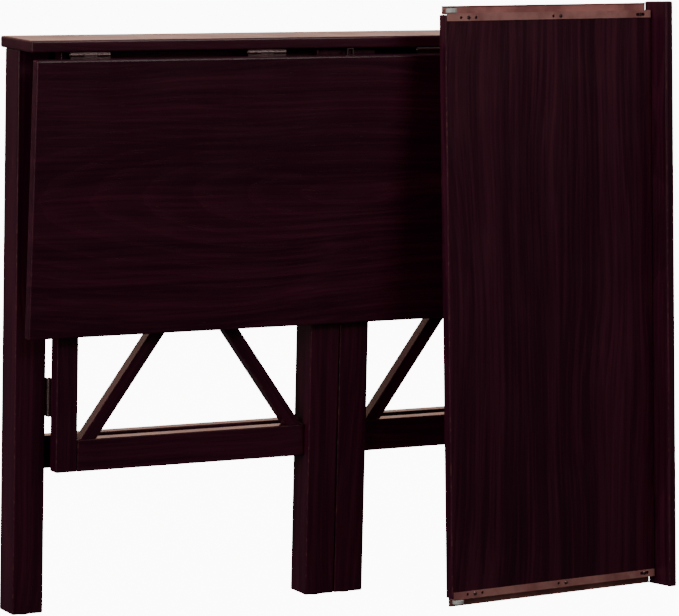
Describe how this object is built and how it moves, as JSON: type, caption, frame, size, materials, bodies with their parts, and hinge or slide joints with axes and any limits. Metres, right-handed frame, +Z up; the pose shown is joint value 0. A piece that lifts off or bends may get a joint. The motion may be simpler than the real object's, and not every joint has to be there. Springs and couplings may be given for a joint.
{
  "type": "folding gate-leg desk",
  "caption": "Folding gate-leg desk in dark wood, closed up: drop leaf hanging over swing gates with crossed braces, and its loose keyboard tray stood on end beside it.",
  "frame": {"origin": "middle of the whole footprint on the floor, the loose tray included", "axes": "+X to the right seen from the front, +Y towards the wall, +Z up"},
  "size_m": [0.914, 0.2326, 0.7982],
  "materials": {
    "espresso_wood": "dark espresso stain under satin lacquer",
    "hinge_steel": "plain bright steel hinges, pins and axles",
    "runner_paint": "brown powder coated sheet steel",
    "roller_nylon": "off-white nylon",
    "glide_plastic": "black moulded plastic"
  },
  "bodies": {
    "desk": {"gate_leg_stop": "hinge_steel", "leaf_hinge_1_fixed_plate": "hinge_steel", "leaf_hinge_1_pin": "hinge_steel", "leaf_hinge_2_fixed_plate": "hinge_steel", "leaf_hinge_2_pin": "hinge_steel", "leaf_hinge_3_fixed_plate": "hinge_steel", "leaf_hinge_3_pin": "hinge_steel", "leaf_hinge_4_fixed_plate": "hinge_steel", "leaf_hinge_4_pin": "hinge_steel", "left_gate_bottom_rail": "espresso_wood", "left_gate_brace_falling": "espresso_wood", "left_gate_brace_rising": "espresso_wood", "left_gate_hinge_lower_fixed_plate": "hinge_steel", "left_gate_hinge_lower_moving_plate": "hinge_steel", "left_gate_hinge_lower_pin": "hinge_steel", "left_gate_hinge_upper_fixed_plate": "hinge_steel", "left_gate_hinge_upper_moving_plate": "hinge_steel", "left_gate_hinge_upper_pin": "hinge_steel", "left_gate_leg": "espresso_wood", "left_gate_leg_glide": "glide_plastic", "left_gate_runner": "runner_paint", "left_gate_stile": "espresso_wood", "left_gate_top_rail": "espresso_wood", "left_post": "espresso_wood", "left_post_glide": "glide_plastic", "rear_apron": "espresso_wood", "rear_stretcher": "espresso_wood", "right_gate_bottom_rail": "espresso_wood", "right_gate_brace_falling": "espresso_wood", "right_gate_brace_rising": "espresso_wood", "right_gate_hinge_lower_fixed_plate": "hinge_steel", "right_gate_hinge_lower_moving_plate": "hinge_steel", "right_gate_hinge_lower_pin": "hinge_steel", "right_gate_hinge_upper_fixed_plate": "hinge_steel", "right_gate_hinge_upper_moving_plate": "hinge_steel", "right_gate_hinge_upper_pin": "hinge_steel", "right_gate_leg": "espresso_wood", "right_gate_leg_glide": "glide_plastic", "right_gate_runner": "runner_paint", "right_gate_stile": "espresso_wood", "right_gate_top_rail": "espresso_wood", "right_post": "espresso_wood", "right_post_glide": "glide_plastic", "top_board": "espresso_wood"},
    "leaf": {"drop_leaf": "espresso_wood", "leaf_hinge_1_moving_plate": "hinge_steel", "leaf_hinge_2_moving_plate": "hinge_steel", "leaf_hinge_3_moving_plate": "hinge_steel", "leaf_hinge_4_moving_plate": "hinge_steel"},
    "tray": {"tray_panel": "espresso_wood", "tray_fascia": "espresso_wood", "tray_lower_runner": "runner_paint", "tray_upper_runner": "runner_paint", "tray_lower_axle": "hinge_steel", "tray_upper_axle": "hinge_steel"},
    "lower_roller": {"tray_lower_roller": "roller_nylon"},
    "upper_roller": {"tray_upper_roller": "roller_nylon"}
  },
  "joints": [
    {"name": "leaf_fold", "type": "hinge", "parent": "desk", "child": "leaf", "pos_m": [0, 0.01627, 0.7317], "axis": [-1, 0, 0], "range_deg": [0, 92.65]},
    {"name": "tray_draw", "type": "slide", "parent": "desk", "child": "tray", "axis": [0, -1, 0], "range_m": [0, 0.48]},
    {"name": "lower_roller_spin", "type": "hinge", "parent": "tray", "child": "lower_roller", "pos_m": [0.11195, -0.1083, 0.01432], "axis": [-0.0058, 0.0678, 0.9977], "continuous": true},
    {"name": "upper_roller_spin", "type": "hinge", "parent": "tray", "child": "upper_roller", "pos_m": [0.10747, -0.05612, 0.78254], "axis": [-0.0058, 0.0678, 0.9977], "continuous": true}
  ],
  "couplings": [
    {"joint": "tray_draw", "follows": "leaf_fold", "m_per_rad": 0.29}
  ]
}
